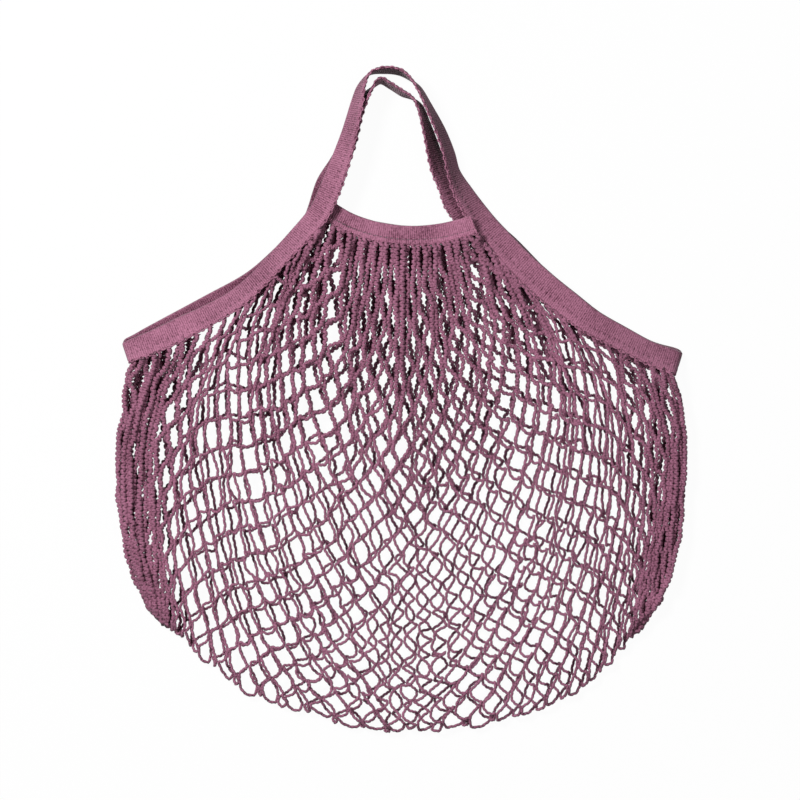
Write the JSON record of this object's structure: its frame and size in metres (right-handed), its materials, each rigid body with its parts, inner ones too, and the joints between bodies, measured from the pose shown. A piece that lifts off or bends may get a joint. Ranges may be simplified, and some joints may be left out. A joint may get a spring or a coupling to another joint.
{
  "type": "string shopping bag",
  "caption": "Soft knitted net shopping bag lying flat: an open mesh pocket hung from knitted bands that form the mouth edges and two carrying handles.",
  "frame": {"origin": "on the floor under the middle of the bag's outline as it lies flat", "axes": "+X across the bag to the right, +Y up the bag from its bottom fold to the handle tops, +Z off the floor towards the camera"},
  "size_m": [0.4022, 0.4654, 0.0225],
  "materials": {
    "net": "knitted cotton chain cords, matt, dusty plum",
    "centre_band": "dense ribbed cotton knit, matt, dusty plum",
    "edge_band": "ribbed cotton knit band with a scalloped edge, matt, dusty plum",
    "handle": "ribbed cotton knit band with a scalloped edge, matt, dusty plum"
  },
  "bodies": {
    "root": {"net_body": "net", "centre_band_front": "centre_band", "centre_band_back": "centre_band", "edge_band_left": "edge_band", "edge_band_right": "edge_band", "handle_front": "handle", "handle_back": "handle"}
  },
  "joints": []
}
